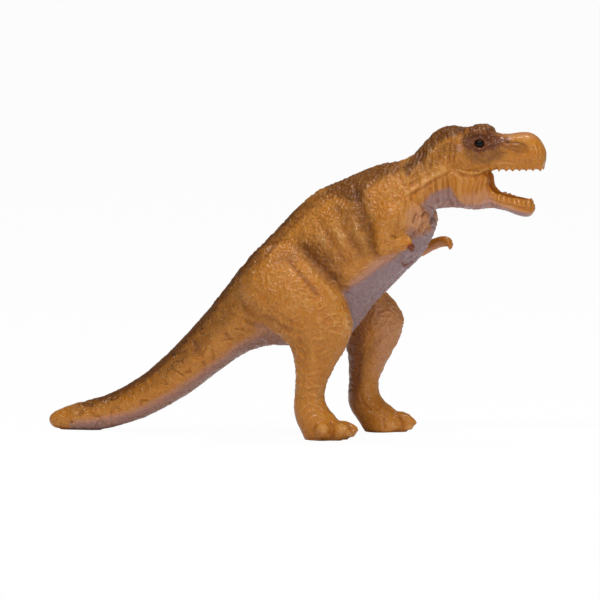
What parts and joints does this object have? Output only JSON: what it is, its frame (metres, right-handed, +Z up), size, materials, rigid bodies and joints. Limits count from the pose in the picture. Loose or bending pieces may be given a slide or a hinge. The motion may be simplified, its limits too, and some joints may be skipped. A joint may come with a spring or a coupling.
{
  "type": "toy dinosaur figure",
  "caption": "Moulded soft PVC figure of a two-legged meat-eating dinosaur with open mouth, standing on its feet and tail.",
  "frame": {"origin": "middle of the figure's footprint box, on the surface it stands on", "axes": "+X from tail to nose, +Y to the animal's left, +Z up"},
  "size_m": [0.1598, 0.0478, 0.0988],
  "materials": {
    "ochre_pvc": "waxy satin soft PVC, ochre, sprayed brown on the back and mauve on the belly",
    "black_gloss": "glossy black"
  },
  "bodies": {
    "root": {"torso": "ochre_pvc", "head": "ochre_pvc", "lower_jaw": "ochre_pvc", "tail": "ochre_pvc", "right_leg": "ochre_pvc", "left_leg": "ochre_pvc", "right_arm": "ochre_pvc", "left_arm": "ochre_pvc", "right_eye": "black_gloss", "left_eye": "black_gloss"}
  },
  "joints": []
}
